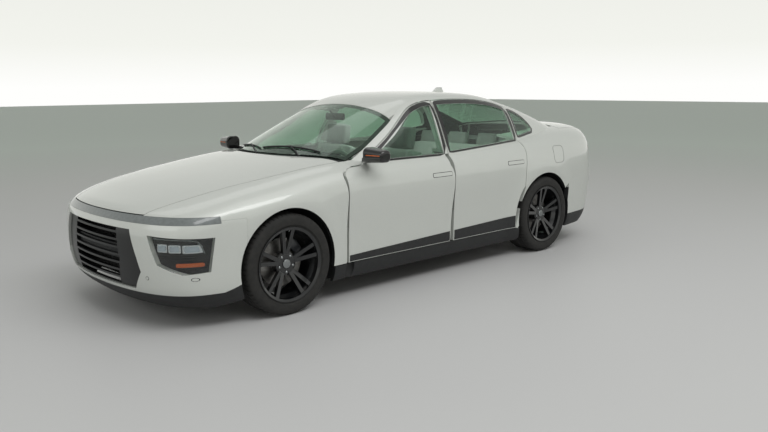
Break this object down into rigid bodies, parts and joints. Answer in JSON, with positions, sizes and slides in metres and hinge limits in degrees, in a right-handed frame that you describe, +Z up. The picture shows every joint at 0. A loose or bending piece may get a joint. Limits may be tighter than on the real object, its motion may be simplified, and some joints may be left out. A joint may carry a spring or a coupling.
{
  "type": "midsize sedan",
  "caption": "Midsize sedan with a sloping roofline, wide dark grille, opening doors, hood and trunk lid, steered front wheels and a furnished cabin.",
  "frame": {"origin": "on the ground under the middle of the car", "axes": "+X forward, +Y to the car's left, +Z up"},
  "size_m": [4.8938, 2.1, 1.445],
  "materials": {
    "body_paint": "light grey-white clear-coated paint",
    "body_primer": "dark sealed underbody paint",
    "black_plastic": "grained black plastic",
    "grille_black": "gloss black lattice",
    "lamp_housing": "dark lamp housing",
    "clear_lens": "clear lens",
    "red_lens": "dark red lens",
    "glass": "green-tinted glazing",
    "liner": "felted wheel-arch liner",
    "engine_metal": "cast alloy block",
    "interior_plastic": "soft-touch trim",
    "seat_fabric": "dark upholstery",
    "suspension_steel": "black coated steel",
    "exhaust_steel": "stainless steel",
    "gloss_black": "gloss black",
    "wheel_black": "black painted alloy",
    "tyre": "black rubber"
  },
  "bodies": {
    "body": {"underbody": "body_primer", "body_side_left": "body_paint", "body_side_right": "body_paint", "roof_panel": "body_paint", "fender_left": "body_paint", "fender_right": "body_paint", "front_bumper": "body_paint", "rear_bumper": "body_paint", "black_trim": "black_plastic", "grille": "grille_black", "front_lamps": "lamp_housing", "front_lenses": "clear_lens", "tail_lamps": "red_lens", "windshield": "glass", "rear_glass": "glass", "wheel_liners": "liner", "engine": "engine_metal", "dashboard": "interior_plastic", "front_seats": "seat_fabric", "rear_seat": "seat_fabric", "front_suspension": "suspension_steel", "rear_suspension": "suspension_steel", "exhaust": "exhaust_steel"},
    "hood": {"hood": "body_paint"},
    "trunk_lid": {"trunk_lid": "body_paint", "trunk_lamp": "red_lens"},
    "front_door_left": {"front_door_left": "body_paint", "front_glass_left": "glass", "mirror_left": "gloss_black"},
    "front_door_right": {"front_door_right": "body_paint", "front_glass_right": "glass", "mirror_right": "gloss_black"},
    "rear_door_left": {"rear_door_left": "body_paint", "rear_glass_left": "glass"},
    "rear_door_right": {"rear_door_right": "body_paint", "rear_glass_right": "glass"},
    "knuckle_left": {"knuckle_left": "suspension_steel"},
    "knuckle_right": {"knuckle_right": "suspension_steel"},
    "front_wheel_left": {"front_wheel_left": "wheel_black", "front_tyre_left": "tyre"},
    "front_wheel_right": {"front_wheel_right": "wheel_black", "front_tyre_right": "tyre"},
    "rear_wheel_left": {"rear_wheel_left": "wheel_black", "rear_tyre_left": "tyre"},
    "rear_wheel_right": {"rear_wheel_right": "wheel_black", "rear_tyre_right": "tyre"}
  },
  "joints": [
    {"name": "front_door_left_hinge", "type": "hinge", "parent": "body", "child": "front_door_left", "pos_m": [0.985, 0.882, 0.575], "axis": [0, 0, -1], "range_deg": [0, 65]},
    {"name": "front_door_right_hinge", "type": "hinge", "parent": "body", "child": "front_door_right", "pos_m": [0.985, -0.882, 0.575], "axis": [0, 0, 1], "range_deg": [0, 65]},
    {"name": "rear_door_left_hinge", "type": "hinge", "parent": "body", "child": "rear_door_left", "pos_m": [-0.121, 0.882, 0.575], "axis": [0, 0, -1], "range_deg": [0, 65]},
    {"name": "rear_door_right_hinge", "type": "hinge", "parent": "body", "child": "rear_door_right", "pos_m": [-0.121, -0.882, 0.575], "axis": [0, 0, 1], "range_deg": [0, 65]},
    {"name": "hood_hinge", "type": "hinge", "parent": "body", "child": "hood", "pos_m": [0.968, 0, 0.925], "axis": [0, -1, 0], "range_deg": [0, 55]},
    {"name": "trunk_hinge", "type": "hinge", "parent": "body", "child": "trunk_lid", "pos_m": [-1.802, 0, 1.058], "axis": [0, 1, 0], "range_deg": [0, 70]},
    {"name": "steer_left", "type": "hinge", "parent": "body", "child": "knuckle_left", "pos_m": [1.515, 0.72, 0.3393], "axis": [0, 0, 1], "range_deg": [-35, 35]},
    {"name": "steer_right", "type": "hinge", "parent": "body", "child": "knuckle_right", "pos_m": [1.515, -0.72, 0.3393], "axis": [0, 0, 1], "range_deg": [-35, 35]},
    {"name": "front_wheel_left_spin", "type": "hinge", "parent": "knuckle_left", "child": "front_wheel_left", "pos_m": [1.515, 0.795, 0.3393], "axis": [0, 1, 0], "continuous": true},
    {"name": "front_wheel_right_spin", "type": "hinge", "parent": "knuckle_right", "child": "front_wheel_right", "pos_m": [1.515, -0.795, 0.3393], "axis": [0, 1, 0], "continuous": true},
    {"name": "rear_wheel_left_spin", "type": "hinge", "parent": "body", "child": "rear_wheel_left", "pos_m": [-1.325, 0.795, 0.3393], "axis": [0, 1, 0], "continuous": true},
    {"name": "rear_wheel_right_spin", "type": "hinge", "parent": "body", "child": "rear_wheel_right", "pos_m": [-1.325, -0.795, 0.3393], "axis": [0, 1, 0], "continuous": true}
  ],
  "couplings": [
    {"joint": "steer_right", "follows": "steer_left", "ratio": 1}
  ]
}
